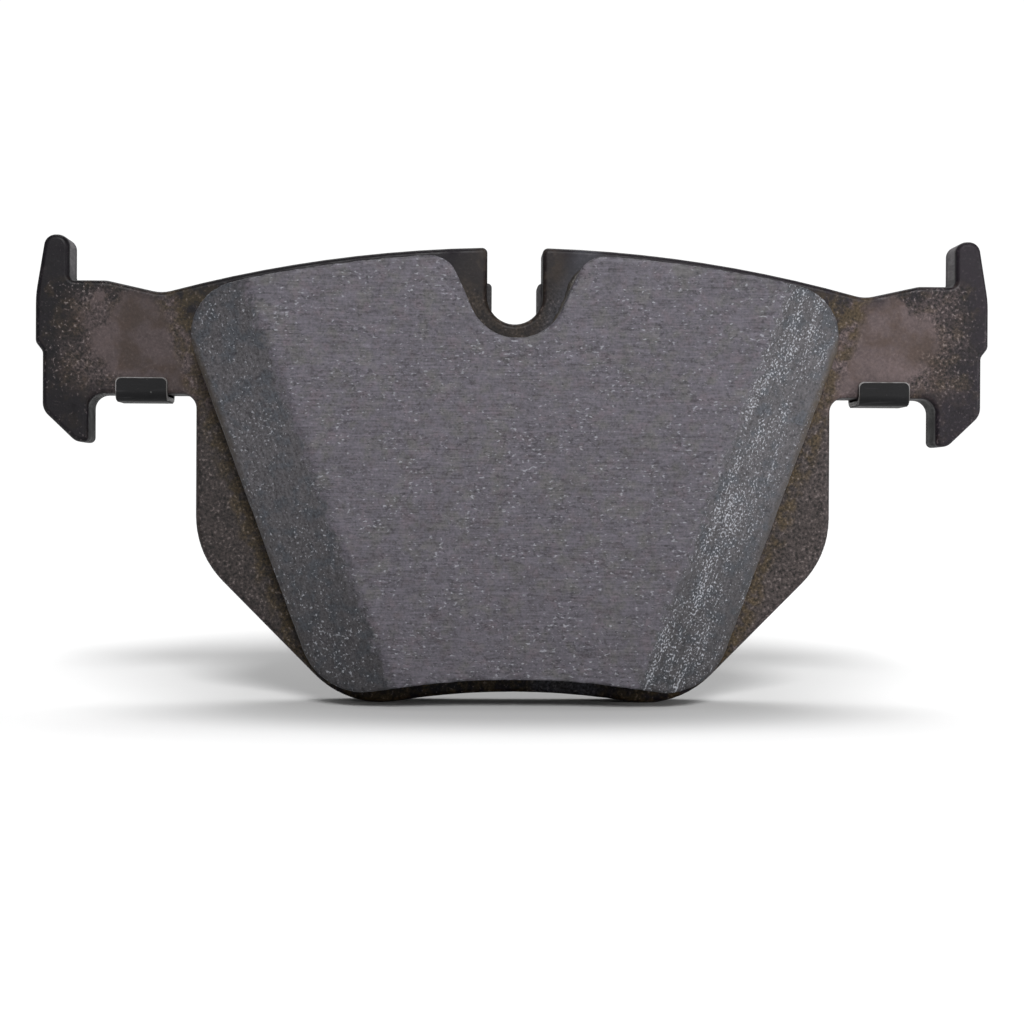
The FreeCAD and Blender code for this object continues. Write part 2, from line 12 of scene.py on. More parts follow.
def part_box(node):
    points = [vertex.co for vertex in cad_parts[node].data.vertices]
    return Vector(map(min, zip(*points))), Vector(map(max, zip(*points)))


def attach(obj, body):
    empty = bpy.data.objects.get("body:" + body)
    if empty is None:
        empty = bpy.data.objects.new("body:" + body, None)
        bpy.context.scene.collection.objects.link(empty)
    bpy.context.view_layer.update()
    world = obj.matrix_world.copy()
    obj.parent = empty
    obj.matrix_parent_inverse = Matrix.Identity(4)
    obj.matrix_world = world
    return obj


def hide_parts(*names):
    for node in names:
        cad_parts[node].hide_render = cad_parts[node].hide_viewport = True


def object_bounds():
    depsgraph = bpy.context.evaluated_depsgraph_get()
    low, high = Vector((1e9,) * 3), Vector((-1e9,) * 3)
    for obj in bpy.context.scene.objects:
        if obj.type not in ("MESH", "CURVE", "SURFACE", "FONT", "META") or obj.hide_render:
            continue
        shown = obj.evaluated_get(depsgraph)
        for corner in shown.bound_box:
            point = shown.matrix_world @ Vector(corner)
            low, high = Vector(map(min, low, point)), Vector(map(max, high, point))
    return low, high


MM = 0.001

# Sizes of the CAD model, in millimetres
CHAMFER_WIDTH = 9.8  # in from the lining's end wall
CHAMFER_FALL = 3.5  # back from the friction face at that wall
RELIEF_REACH = 15.0  # the side walls of the lining's relief are nearer the middle than this
ADHESIVE = 0.15  # the film between plate and lining
EAR_ROOT = 40.9  # from the middle to the start of an ear
EAR_LOW = 10.15
EAR_HIGH = 24.7

# The photo's camera, fitted to the pad's outline
CAMERA_PLACE = (-7.73, -276.85, -3.19)  # mm
CAMERA_TARGET = (-0.24, -6.85, -4.76)  # mm
CAMERA_ROLL = 0.294  # degrees
CAMERA_LENS = 73.7  # mm

# The studio
SKY_FRONT = 0.16
SKY_BACK = 0.58
FLOOR_HALF = 6.0  # m
DOME_RADIUS = 6.5  # m
DOME_GLOW = 1.05
PAD_MIDDLE = 7.0  # mm, from the back of the shim to the middle of the painted floor shadow

# Fineness of the two added pieces, in millimetres
BLOCK_NET = 0.36
BEAD_STEP = 0.35


class Look:
    """One material, with short calls for the nodes that make it. Positions are in millimetres."""

    def __init__(self, name):
        self.material = bpy.data.materials.new(name)
        self.material.use_nodes = True
        self.tree = self.material.node_tree
        self.shader = self.tree.nodes["Principled BSDF"]
        place = self.add("ShaderNodeTexCoord").outputs["Object"]
        self.place = self.vector("MULTIPLY", place, (1000, 1000, 1000))
        self.x, self.y, self.z = self.parts(self.place)
        self.side = self.number("ABSOLUTE", self.x)

    def add(self, kind, **settings):
        node = self.tree.nodes.new(kind)
        for key, value in settings.items():
            setattr(node, key, value)
        return node

    def feed(self, socket, value):
        if isinstance(value, bpy.types.NodeSocket):
            self.tree.links.new(value, socket)
        else:
            socket.default_value = value

    def parts(self, vector):
        node = self.add("ShaderNodeSeparateXYZ")
        self.feed(node.inputs[0], vector)
        return node.outputs[0], node.outputs[1], node.outputs[2]

    def joined(self, x, y, z):
        node = self.add("ShaderNodeCombineXYZ")
        for socket, value in zip(node.inputs, (x, y, z)):
            self.feed(socket, value)
        return node.outputs[0]

    def vector(self, operation, first, second):
        node = self.add("ShaderNodeVectorMath", operation=operation)
        self.feed(node.inputs[0], first)
        self.feed(node.inputs[1], second)
        return node.outputs[0]

    def number(self, operation, first, second=0.0):
        node = self.add("ShaderNodeMath", operation=operation)
        self.feed(node.inputs[0], first)
        self.feed(node.inputs[1], second)
        return node.outputs[0]

    def times(self, *values):
        total = values[0]
        for value in values[1:]:
            total = self.number("MULTIPLY", total, value)
        return total

    def plus(self, *values):
        total = values[0]
        for value in values[1:]:
            total = self.number("ADD", total, value)
        return total

    def step(self, value, low, high, start=0.0, end=1.0):
        """start below low, end above high, and a smooth run between them."""
        node = self.add("ShaderNodeMapRange", interpolation_type="SMOOTHSTEP")
        self.feed(node.inputs["Value"], value)
        node.inputs["From Min"].default_value = low
        node.inputs["From Max"].default_value = high
        node.inputs["To Min"].default_value = start
        node.inputs["To Max"].default_value = end
        return node.outputs["Result"]

    def noise(self, scale, detail=2.0, rough=0.55, stretch=(1, 1, 1), at=None):
        """Soft noise, about 0.5. Its grain is 1/scale millimetres, longer where stretch is small."""
        node = self.add("ShaderNodeTexNoise")
        at = self.place if at is None else at
        self.feed(node.inputs["Vector"], self.vector("MULTIPLY", at, stretch))
        node.inputs["Scale"].default_value = scale
        node.inputs["Detail"].default_value = detail
        node.inputs["Roughness"].default_value = rough
        return node.outputs["Fac"]

    def specks(self, scale, low, high, stretch=(1, 1, 1), at=None, more=None):
        """Ragged specks of uneven size: the tops of a fine noise. more moves the level they start at."""
        value = self.noise(scale, 1.5, 0.6, stretch, at)
        if more is not None:
            value = self.plus(value, more)
        return self.step(value, low, high)

    def mix(self, share, first, second):
        node = self.add("ShaderNodeMix", data_type="RGBA")
        node.clamp_factor = True
        self.feed(node.inputs[0], share)
        self.feed(node.inputs[6], first)
        self.feed(node.inputs[7], second)
        return node.outputs[2]

    def scaled(self, colour, factor):
        """The colour, lighter or darker by a number."""
        node = self.add("ShaderNodeVectorMath", operation="SCALE")
        self.feed(node.inputs[0], colour)
        self.feed(node.inputs["Scale"], factor)
        return node.outputs[0]

    def edges(self, reach):
        """1 at the piece's outer edges, 0 further in than reach millimetres."""
        node = self.add("ShaderNodeAmbientOcclusion", inside=True, only_local=True, samples=8)
        node.inputs["Distance"].default_value = reach * MM
        return self.step(node.outputs["AO"], 0.45, 0.98, 1.0, 0.0)

    def bump(self, height, depth, strength):
        """Relief of so many millimetres where height goes from 0 to 1."""
        node = self.add("ShaderNodeBump")
        node.inputs["Distance"].default_value = depth * MM
        node.inputs["Strength"].default_value = strength
        self.feed(node.inputs["Height"], height)
        return node.outputs["Normal"]

    def finish(self, colour, roughness, normal, metallic, specular):
        self.feed(self.shader.inputs["Base Color"], colour)
        self.feed(self.shader.inputs["Roughness"], roughness)
        self.feed(self.shader.inputs["Normal"], normal)
        self.feed(self.shader.inputs["Metallic"], metallic)
        self.shader.inputs["Specular IOR Level"].default_value = specular
        return self.material


def rgb(red, green, blue):
    return (red, green, blue, 1.0)


def placed(name, data):
    """A new object, joined to the scene."""
    piece = bpy.data.objects.new(name, data)
    bpy.context.scene.collection.objects.link(piece)
    return piece


def dress(piece, material):
    piece.data.materials.clear()
    piece.data.materials.append(material)


def end_wall(face):
    across = face.normal
    return across.x > 0.7 and abs(across.y) < 0.1 and abs(across.z) > 0.2


def relief_wall(face):
    across = face.normal
    near = 0 < face.center.x < RELIEF_REACH * MM
    return near and across.x < -0.6 and across.z > 0.25 and abs(across.y) < 0.35


def widest_wall(node, fits):
    """Direction across the widest wall that fits, and the wall's distance along it, in mm."""
    areas = {}
    for face in node.data.polygons:
        across = face.normal
        if fits(face):
            key = (round(across.x, 3), round(across.z, 3))
            reach = across.dot(face.center) / MM
            area, total = areas.get(key, (0.0, 0.0))
            areas[key] = (area + face.area, total + face.area * reach)
    key = max(areas, key=lambda k: areas[k][0])
    area, total = areas[key]
    return key[0], key[1], total / area


def outside_wall(look, wall):
    """Distance outside the lining's end wall, the same on both sides."""
    across_x, across_z, reach = wall
    return look.plus(look.times(look.side, across_x), look.times(look.z, across_z), -reach)


def along_wall(look, wall):
    """Height along the lining's end wall, the same on both sides."""
    across_x, across_z = wall[:2]
    return look.plus(look.times(look.z, across_x), look.times(look.side, -across_z))


def chamfer_shares(look, face, outside):
    """Depth behind the friction face, a ragged edge for it, and the shares of chamfer and slope."""
    depth = look.number("SUBTRACT", look.y, face)
    ragged = look.times(look.plus(look.noise(1.1, 4), -0.5), 1.7)
    chamfer = look.step(look.plus(depth, ragged), 0.05, 0.6)
    chamfer_depth = look.times(look.plus(outside, CHAMFER_WIDTH), CHAMFER_FALL / CHAMFER_WIDTH)
    off_slope = look.number("ABSOLUTE", look.number("SUBTRACT", depth, chamfer_depth))
    on_slope = look.times(look.step(off_slope, 0.4, 1.0, 1.0, 0.0), chamfer)
    return depth, ragged, chamfer, on_slope


def face_tint(look, shifted):
    """Violet compound with clouds of olive and rose."""
    violet = rgb(0.062, 0.057, 0.069)
    olive = rgb(0.063, 0.060, 0.062)
    rose = rgb(0.066, 0.056, 0.066)
    tint = look.mix(look.step(look.noise(0.5, 3), 0.46, 0.70), violet, olive)
    return look.mix(look.step(look.noise(0.6, 3, at=shifted), 0.48, 0.72), tint, rose)


def chamfer_tint(look, light):
    """Slate compound, with painted shade: dimmer at the left, at the bottom and at the top."""
    slate = look.mix(look.step(look.noise(0.5, 3), 0.45, 0.65),
                     rgb(0.058, 0.055, 0.060), rgb(0.044, 0.047, 0.055))
    # Painted shade on the chamfers: darker at the left, low down and at the top.
    painted_side_shade = look.step(look.x, -25.0, 25.0, 0.86, 0.94)
    painted_low_shade = look.step(look.z, -28.0, 5.0, 0.68, 1.0)
    painted_shade = look.times(painted_side_shade, painted_low_shade, look.step(look.z, 8.0, 26.0, 1.0, 0.80))
    return look.scaled(slate, look.times(light, painted_shade))


def dusty_skirt(look, depth, ragged, outside):
    """The share of dust on the walls near the plate, and its colour, darkened towards the left by painted
    shade.
    """
    below_face = look.step(look.plus(depth, look.times(ragged, 1.6)), 2.2, 3.6)
    foot = look.step(look.plus(outside, look.times(ragged, 0.3)), -1.2, -0.2)
    foot = look.times(foot, look.step(look.z, -8.0, 12.0, 0.3, 1.0))
    skirt = look.times(below_face, look.number("MAXIMUM", foot, look.step(depth, 3.6, 4.2)))
    dust = look.mix(look.step(look.side, 12.0, 20.0), rgb(0.026, 0.027, 0.033), rgb(0.040, 0.030, 0.021))
    # Painted shade: the dust's colour darker towards the left.
    return skirt, look.scaled(dust, look.step(look.x, -25.0, 25.0, 0.6, 1.0))


def chamfer_flecks(look, slope, outside, right, on_slope, groups, bands):
    """Metal flecks on the chamfers: dense on the right one, sparse on the left."""
    inner = look.step(outside, -4.5, 0.0, 0.0, -0.09)
    dense = look.specks(4.0, 0.54, 0.69, (1.1, 1, 0.8), slope, look.plus(bands, inner))
    sparse = look.specks(3.0, 0.62, 0.74, more=groups)
    left_flecks = look.times(sparse, look.number("SUBTRACT", 1.0, right), 0.55)
    return look.plus(look.times(dense, right, on_slope, 0.85), left_flecks)


def friction_look(name, face, wall):
    """Ground friction compound: streaks along the face, flecks of metal, rougher chamfers."""
    look = Look(name)
    outside = outside_wall(look, wall)
    right = look.step(look.x, -1.0, 1.0)
    slope = look.joined(outside, look.times(right, 40.0), along_wall(look, wall))
    shifted = look.vector("ADD", look.place, (31, 7, 3))
    depth, ragged, chamfer, on_slope = chamfer_shares(look, face, outside)
    flat = look.number("SUBTRACT", 1.0, chamfer)

    streaks = look.noise(2.1, 2, 0.6, (0.5, 1, 1.9))
    lines = look.noise(1.6, 1, 0.5, (0.16, 1, 3.2))
    grain = look.noise(3.2, 3, 0.7)
    mottle = look.noise(0.6, 2)
    runs = look.noise(1.3, 3, 0.65, (2.2, 1, 0.6), slope)
    groups = look.times(look.plus(look.noise(0.22, 3), -0.5), 0.30)
    bands = look.times(look.plus(look.noise(0.55, 3, 0.6, (1.4, 1, 0.22), slope), -0.5), 0.55)

    face_light = look.plus(
        look.times(look.plus(streaks, -0.5), 1.0),
        look.times(look.plus(lines, -0.5), 0.9),
        look.times(look.plus(grain, -0.5), 1.7),
        look.times(look.plus(mottle, -0.5), 0.6),
        1.0,
    )
    chamfer_light = look.plus(
        look.times(look.plus(runs, -0.5), on_slope, 1.5),
        look.times(look.plus(grain, -0.5), 2.6),
        look.times(bands, right, on_slope, 0.5),
        0.95,
    )
    face_colour = look.scaled(face_tint(look, shifted), face_light)
    colour = look.mix(chamfer, face_colour, chamfer_tint(look, chamfer_light))
    # Painted shade: the block darker towards the bottom, a little lighter at the top.
    colour = look.scaled(colour, look.step(look.z, -30.0, 24.0, 0.90, 1.04))
    # A lighter rim along the face's edges: partly wear, partly a painted highlight.
    worn_rim_and_painted_highlight = look.times(look.edges(0.9), flat, look.step(look.noise(0.6, 3), 0.38, 0.62))
    colour = look.mix(look.times(worn_rim_and_painted_highlight, 0.5), colour, rgb(0.15, 0.15, 0.165))
    skirt, dust = dusty_skirt(look, depth, ragged, outside)
    colour = look.mix(look.times(skirt, 0.9), colour, dust)

    pits = look.specks(2.4, 0.61, 0.70, (0.6, 1, 1.0), shifted, groups)
    colour = look.mix(look.times(pits, 0.5), colour, rgb(0.016, 0.014, 0.018))
    face_flecks = look.times(look.specks(2.6, 0.61, 0.75, (0.6, 1, 1.2), more=groups), flat)
    bright_side = look.times(chamfer_flecks(look, slope, outside, right, on_slope, groups, bands), chamfer)
    flecks = look.number("MINIMUM", look.plus(look.times(face_flecks, 0.5), bright_side), 1.0)
    flecks = look.times(flecks, look.number("SUBTRACT", 1.0, look.times(skirt, 0.7)))
    colour = look.mix(look.times(flecks, 0.85), colour, rgb(0.33, 0.34, 0.37))

    height = look.plus(
        look.times(streaks, 0.6),
        look.times(grain, 0.7),
        look.times(pits, -0.6),
        look.times(flecks, 0.3),
    )
    rough = look.plus(0.60, look.times(look.plus(grain, -0.5), 0.6))
    normal = look.bump(height, 0.05, 0.8)
    return look.finish(colour, rough, normal, look.times(flecks, 0.35), 0.25)


def warm_browns(look, cloud, height):
    """Paint browned by the press, darker at the bottom of the ears."""
    mauve = rgb(0.064, 0.047, 0.047)
    low_mauve = rgb(0.030, 0.0235, 0.0225)
    umber = rgb(0.040, 0.027, 0.023)
    warm = look.mix(look.step(cloud, 0.42, 0.62), mauve, umber)
    return look.mix(look.step(height, EAR_LOW - 4.0, EAR_LOW + 1.0, 1.0, 0.0), warm, low_mauve)


def sheared_walls(look, front):
    """The plate's cut walls under thin paint, darker at the back, with painted light and shade: lighter
    above the ears, much darker below them.
    """
    sheared = look.mix(look.step(look.noise(0.8, 3, 0.6, (3, 0.4, 3)), 0.35, 0.65),
                       rgb(0.030, 0.028, 0.030), rgb(0.046, 0.043, 0.045))
    sheared = look.mix(look.step(look.y, front + 4.2, front + 5.2), sheared, rgb(0.018, 0.016, 0.018))
    # Painted light and shade on the cut walls: much darker below the ears, lighter above them.
    painted_light_and_shade = look.plus(look.step(look.z, EAR_LOW - 1.0, EAR_LOW + 1.0, 0.1, 1.0),
                    look.step(look.z, EAR_HIGH, EAR_HIGH + 1.5, 0.0, 2.4))
    return look.scaled(sheared, painted_light_and_shade)


def painted_steel(look, front, walls):
    """Black paint on the faces and the rear rim, and the cut walls between them."""
    # Painted shade: the black paint darker towards the left.
    black = look.mix(look.step(look.x, -55.0, 55.0),
                     rgb(0.0022, 0.0009, 0.0028), rgb(0.0080, 0.0055, 0.0085))
    before_rear_rim = look.step(look.y, -1.35, -1.0, 1.0, 0.0)
    return look.mix(look.times(walls, before_rear_rim), black, sheared_walls(look, front))


def throat_stain(look, colour, ahead, notch):
    """The colour, with a dark brown stain round the notch."""
    above = look.plus(look.z, -notch)
    distance = look.number("SQRT", look.plus(look.times(look.x, look.x), look.times(above, above)))
    throat = look.times(look.step(distance, 6.5, 9.5, 1.0, 0.0), ahead)
    stain = look.mix(look.step(look.noise(0.5, 3), 0.4, 0.6),
                     rgb(0.013, 0.009, 0.009), rgb(0.028, 0.021, 0.017))
    return look.mix(look.times(throat, 0.85), colour, stain)


def throat_painted_shade(look, colour, ahead, wander, throat_wall):
    """The colour, with painted shade in slate grey on the plate beside the right wall of the lining's
    relief.
    """
    # Painted shade on the plate beside the relief's right wall.
    dusty = look.plus(look.times(look.x, throat_wall[0]), look.times(look.z, throat_wall[1]))
    dusty = look.plus(dusty, look.times(wander, 0.1))
    dusty = look.step(dusty, throat_wall[2], throat_wall[2] + 2.6, 1.0, 0.0)
    dusty = look.times(dusty, ahead, look.step(look.x, 1.5, 3.5), look.step(look.x, 10.0, 12.0, 1.0, 0.0))
    return look.mix(look.times(dusty, 0.8), colour, rgb(0.036, 0.036, 0.044))


def press_mark(look, side, height, off_prong, ear_out):
    """The share of the gritty mark that the press leaves on each ear."""
    from_middle = look.number("ABSOLUTE", look.plus(height, (EAR_LOW + EAR_HIGH) / -2))
    reach = look.plus(side, look.step(from_middle, 2.5, 6.5, 0.0, 5.0))
    return look.times(
        look.step(reach, ear_out - 9.0, ear_out - 5.5),
        look.step(side, ear_out - 3.2, ear_out - 0.6, 1.0, 0.0),
        look.step(look.side, EAR_ROOT + 3.0, EAR_ROOT + 6.0),
        look.step(look.z, EAR_HIGH - 0.7, EAR_HIGH + 0.8, 1.0, 0.0),
        look.plus(0.25, look.times(off_prong, 0.75)),
    )


def plate_look(name, front, wall, throat_wall, notch, ear_out):
    """Painted steel: black at the prongs and edges, browned by the press beside the lining."""
    look = Look(name)
    outside = outside_wall(look, wall)
    wander = look.times(look.plus(look.noise(0.32, 4), -0.5), 9.0)
    ahead = look.step(look.y, front + 0.55, front + 0.15, 0.0, 1.0)
    side = look.plus(look.side, wander)
    height = look.plus(look.z, wander)
    low_part = look.step(look.plus(look.z, look.times(wander, 0.4)), EAR_LOW - 1.0, EAR_LOW + 2.5)
    inner_part = look.step(look.side, ear_out - 10.5, ear_out - 8.0, 1.0, 0.0)
    off_prong = look.number("MAXIMUM", low_part, inner_part)
    middle = look.times(
        look.step(side, ear_out - 6.5, ear_out - 1.5, 1.0, 0.0),
        look.step(height, EAR_HIGH - 3.5, EAR_HIGH + 0.5, 1.0, 0.0),
        look.step(look.plus(outside, look.times(wander, 0.2)), -0.5, 1.0),
        off_prong,
    )
    rim = look.edges(1.5)
    fine = look.noise(2.6, 3, 0.7)
    coarse = look.noise(0.5, 3)
    cloud = look.noise(0.25, 3)
    brown = look.times(middle, ahead, look.number("SUBTRACT", 1.0, look.times(rim, 0.5)))
    band = look.times(
        look.step(look.plus(outside, look.times(wander, 0.3)), 1.9, 3.6, 1.0, 0.0),
        look.step(look.z, EAR_HIGH + 0.5, EAR_HIGH - 2.5, 0.0, 1.0),
        ahead,
    )

    walls = look.step(look.y, front + 0.5, front + 1.4)
    colour = look.mix(brown, painted_steel(look, front, walls), warm_browns(look, cloud, height))
    stained = look.times(band, look.step(look.noise(0.6, 4), 0.38, 0.58), 0.85)
    colour = look.mix(stained, colour, rgb(0.034, 0.023, 0.010))
    colour = throat_stain(look, colour, ahead, notch)
    # Painted shade beside the right wall of the lining's relief.
    colour = throat_painted_shade(look, colour, ahead, wander, throat_wall)
    zone = press_mark(look, side, height, off_prong, ear_out)
    golden = look.times(zone, ahead, look.step(look.noise(0.45, 3), 0.48, 0.62), 0.4)
    colour = look.mix(golden, colour, rgb(0.050, 0.034, 0.019))
    colour = look.scaled(colour, look.number("SUBTRACT", 1.0, look.times(zone, ahead, 0.42)))

    below = look.times(look.step(look.z, EAR_LOW, EAR_LOW - 4.0, 0.0, 1.0), off_prong, 0.8)
    gritty = look.number("MAXIMUM", look.number("MAXIMUM", zone, rim), look.times(band, 0.6))
    under_top = look.step(look.z, EAR_HIGH + 0.5, EAR_HIGH - 0.5, 0.15, 1.0)
    gritty = look.times(look.number("MAXIMUM", gritty, below), ahead, under_top)
    contrast = look.plus(1.1, look.times(gritty, 5.5))
    light = look.plus(
        look.times(look.plus(fine, -0.5), contrast),
        look.times(look.plus(coarse, -0.5), 0.9),
        1.0,
    )
    light = look.number("MAXIMUM", light, 0.12)
    # Painted shade: the whole plate darker towards the left, a little lighter at the right.
    uneven = look.step(look.x, -45.0, 45.0, 0.78, 1.07)
    colour = look.scaled(colour, look.times(light, uneven))
    sparkle = look.times(look.specks(2.6, 0.60, 0.76), look.plus(0.10, look.times(gritty, 0.9)), ahead)
    colour = look.mix(look.times(sparkle, 0.55), colour, rgb(0.17, 0.145, 0.14))
    # A lighter line at the outermost edges: partly worn paint, partly a painted highlight.
    edge_wear_and_painted_highlight = look.times(look.step(rim, 0.90, 1.0), look.step(coarse, 0.45, 0.6), 0.12)
    colour = look.mix(edge_wear_and_painted_highlight, colour, rgb(0.075, 0.070, 0.072))

    relief = look.plus(
        look.times(look.noise(1.1, 3), 0.6),
        look.times(fine, 0.5),
        look.times(sparkle, 0.4),
    )
    normal = look.bump(relief, 0.035, 0.7)
    rough = look.plus(0.50, look.times(look.plus(coarse, -0.5), 0.5), look.times(walls, 0.1))
    return look.finish(colour, rough, normal, 0.0, 0.17)


def film_look(name):
    """Brown cured adhesive, glossy in places."""
    look = Look(name)
    cloud = look.noise(0.8, 4)
    fine = look.noise(4.0, 2)
    colour = look.mix(look.step(cloud, 0.4, 0.62), rgb(0.012, 0.010, 0.009), rgb(0.024, 0.019, 0.013))
    normal = look.bump(look.plus(cloud, look.times(fine, 0.4)), 0.05, 0.8)
    rough = look.step(fine, 0.35, 0.65, 0.32, 0.62)
    return look.finish(colour, rough, normal, 0.0, 0.5)


def underlayer_look(name):
    """The coarser compound next to the plate: short fibres and dark resin."""
    look = Look(name)
    fibres = look.noise(1.6, 3, 0.6, (0.5, 2.2, 0.5))
    grain = look.noise(3.0, 3, 0.6)
    light = look.plus(
        look.times(look.plus(fibres, -0.5), 2.4),
        look.times(look.plus(grain, -0.5), 1.4),
        1.0,
    )
    cloud = look.step(look.noise(0.5, 3), 0.4, 0.6)
    base = look.mix(cloud, rgb(0.050, 0.041, 0.038), rgb(0.040, 0.035, 0.034))
    colour = look.scaled(base, light)
    strands = look.specks(1.6, 0.60, 0.68, (0.4, 1.6, 1.0))
    colour = look.mix(look.times(strands, 0.6), colour, rgb(0.19, 0.15, 0.09))
    pits = look.specks(1.1, 0.60, 0.68)
    colour = look.mix(look.times(pits, 0.7), colour, rgb(0.012, 0.010, 0.010))
    relief = look.plus(fibres, look.times(pits, -0.6), look.times(grain, 0.5))
    normal = look.bump(relief, 0.08, 0.9)
    return look.finish(colour, look.step(grain, 0.3, 0.7, 0.5, 0.8), normal, 0.0, 0.35)


def rubber_look(name, shade):
    """Baked-on rubber: near black, fine orange peel, dull rubbed patches."""
    look = Look(name)
    peel = look.noise(2.4, 2)
    cloud = look.noise(0.12, 4, 0.6)
    scuffs = look.noise(0.9, 3, 0.6, (0.2, 1, 2.5))
    rubbed = look.step(scuffs, 0.56, 0.72)
    colour = look.mix(look.step(cloud, 0.35, 0.65), rgb(*shade), rgb(*[s * 1.5 for s in shade]))
    behind = look.step(look.y, -0.5, -0.2)
    colour = look.mix(look.times(rubbed, 0.35), colour, rgb(0.034, 0.033, 0.035))
    dusty = look.step(look.noise(0.07, 6, 0.62), 0.36, 0.68)
    dusty = look.times(dusty, look.step(look.noise(2.2, 3, 0.7), 0.30, 0.62))
    colour = look.mix(look.times(dusty, behind, 0.5), colour, rgb(0.032, 0.030, 0.029))
    specks = look.specks(1.8, 0.70, 0.78)
    colour = look.mix(look.times(specks, 0.5), colour, rgb(0.09, 0.09, 0.09))
    normal = look.bump(look.plus(peel, look.times(scuffs, 0.3)), 0.02, 0.7)
    dusted = look.times(dusty, behind, 0.12)
    rough = look.plus(0.46, look.times(cloud, 0.18), look.times(rubbed, 0.12), dusted)
    return look.finish(colour, rough, normal, 0.0, 0.14)


def steel_look(name):
    """Sheared edge of thin sheet: bright, with fine lines across the sheet."""
    look = Look(name)
    lines = look.noise(5.0, 2, 0.6, (1, 0.15, 1))
    cloud = look.noise(0.7, 3)
    colour = look.mix(look.step(cloud, 0.4, 0.65), rgb(0.16, 0.155, 0.155), rgb(0.08, 0.075, 0.072))
    normal = look.bump(lines, 0.02, 0.7)
    return look.finish(colour, look.step(lines, 0.3, 0.7, 0.35, 0.6), normal, 0.8, 0.4)


def glue_look(name):
    """Pressure-sensitive glue: translucent grey-brown film."""
    look = Look(name)
    cloud = look.noise(1.3, 3)
    colour = look.mix(look.step(cloud, 0.4, 0.6), rgb(0.10, 0.092, 0.080), rgb(0.16, 0.15, 0.13))
    normal = look.bump(cloud, 0.02, 0.6)
    return look.finish(colour, look.step(cloud, 0.35, 0.65, 0.55, 0.8), normal, 0.0, 0.4)


def remeshed(source, name, voxel):
    """A copy of a node as an even net of small faces, joined to the scene."""
    mesh = source.data.copy()
    piece = placed(name, mesh)
    modifier = piece.modifiers.new("even_net", "REMESH")
    modifier.mode = "VOXEL"
    modifier.voxel_size = voxel * MM
    modifier.adaptivity = 0.0
    graph = bpy.context.evaluated_depsgraph_get()
    even = bpy.data.meshes.new_from_object(piece.evaluated_get(graph))
    piece.modifiers.clear()
    piece.data = even
    even.name = name
    bpy.data.meshes.remove(mesh)
    even.shade_smooth()
    return piece


def edge_share(mesh):
    """How sharp the surface is at each vertex: 0 where it is flat, about 1 at a corner."""
    net = bmesh.new()
    net.from_mesh(mesh)
    shares = []
    for corner in net.verts:
        total = Vector((0, 0, 0))
        for face in corner.link_faces:
            total += face.normal
        flat = total.length / max(1, len(corner.link_faces))
        shares.append(min(1.0, (1.0 - flat) * 6.0))
    net.free()
    return np.array(shares)


def wear(spot, edge, face, across, reach):
    """Depth worn away at a spot, in mm: grinding lines, pits, rough chamfers and chipped edges."""
    slope = Vector((abs(spot.x), 0, spot.z))
    outside = across.dot(slope) - reach
    along = across.x * spot.z - across.z * abs(spot.x)
    depth = spot.y - face
    rough = min(1.0, max(0.0, (depth - 0.1) / 0.4))
    grooves = noise.noise(Vector((spot.x * 0.12, 3.0, spot.z * 1.6)))
    pits = noise.noise(spot * 0.9 + Vector((9, 0, 0)))
    runs = noise.noise(Vector((outside * 1.3, spot.x * 0.01, along * 0.35)))
    chips = noise.noise(spot * 0.55 + Vector((0, 17, 5)))
    cut = 0.03 + 0.010 * grooves * (1 - rough)
    cut += 0.10 * max(0.0, pits - 0.42)
    cut += rough * (0.03 + 0.05 * runs + 0.04 * noise.noise(spot * 1.7))
    cut += edge * (0.05 + 0.35 * max(0.0, chips))
    return max(0.005, cut)


def worn_friction_block(source, face, wall):
    """The friction block, with its wear cut inward."""
    piece = remeshed(source, "friction_block_worn", BLOCK_NET)
    mesh = piece.data
    sharp = edge_share(mesh)
    across = Vector((wall[0], 0, wall[1]))
    count = len(mesh.vertices)
    places = np.empty(count * 3, np.float32)
    mesh.vertices.foreach_get("co", places)
    places = places.reshape(-1, 3)
    normals = np.array([vertex.normal for vertex in mesh.vertices])
    cuts = np.empty(count)
    for i, edge in enumerate(sharp):
        cuts[i] = wear(Vector(places[i]) / MM, edge, face, across, wall[2]) * MM
    moved = places - normals * cuts[:, None]
    mesh.vertices.foreach_set("co", moved.astype(np.float32).ravel())
    mesh.update()
    return piece


def outline_neighbours(net, level):
    """For each corner of the outline at one depth, in mm, the corners next to it."""
    near = {}
    for edge in net.edges:
        a, b = edge.verts
        if abs(a.co.y / MM - level) > 0.01 or abs(b.co.y / MM - level) > 0.01:
            continue
        flats = [abs(face.normal.y) > 0.7 for face in edge.link_faces]
        if len(flats) == 2 and flats[0] != flats[1]:
            near.setdefault(a.index, []).append(b.index)
            near.setdefault(b.index, []).append(a.index)
    return near


def lining_outline(node, level):
    """Corner points (x, z) in millimetres, in order, of a flat layer's outline at one depth."""
    net = bmesh.new()
    net.from_mesh(node.data)
    bmesh.ops.remove_doubles(net, verts=net.verts, dist=1e-6)
    near = outline_neighbours(net, level)
    net.verts.ensure_lookup_table()
    start = min(near)
    order = [start]
    last, here = None, start
    while True:
        options = [i for i in near[here] if i != last]
        last, here = here, options[0]
        if here == start:
            break
        order.append(here)
    points = [(net.verts[i].co.x / MM, net.verts[i].co.z / MM) for i in order]
    net.free()
    area = sum(a[0] * b[1] - b[0] * a[1] for a, b in zip(points, points[1:] + points[:1]))
    if area < 0:
        points.reverse()
    return points


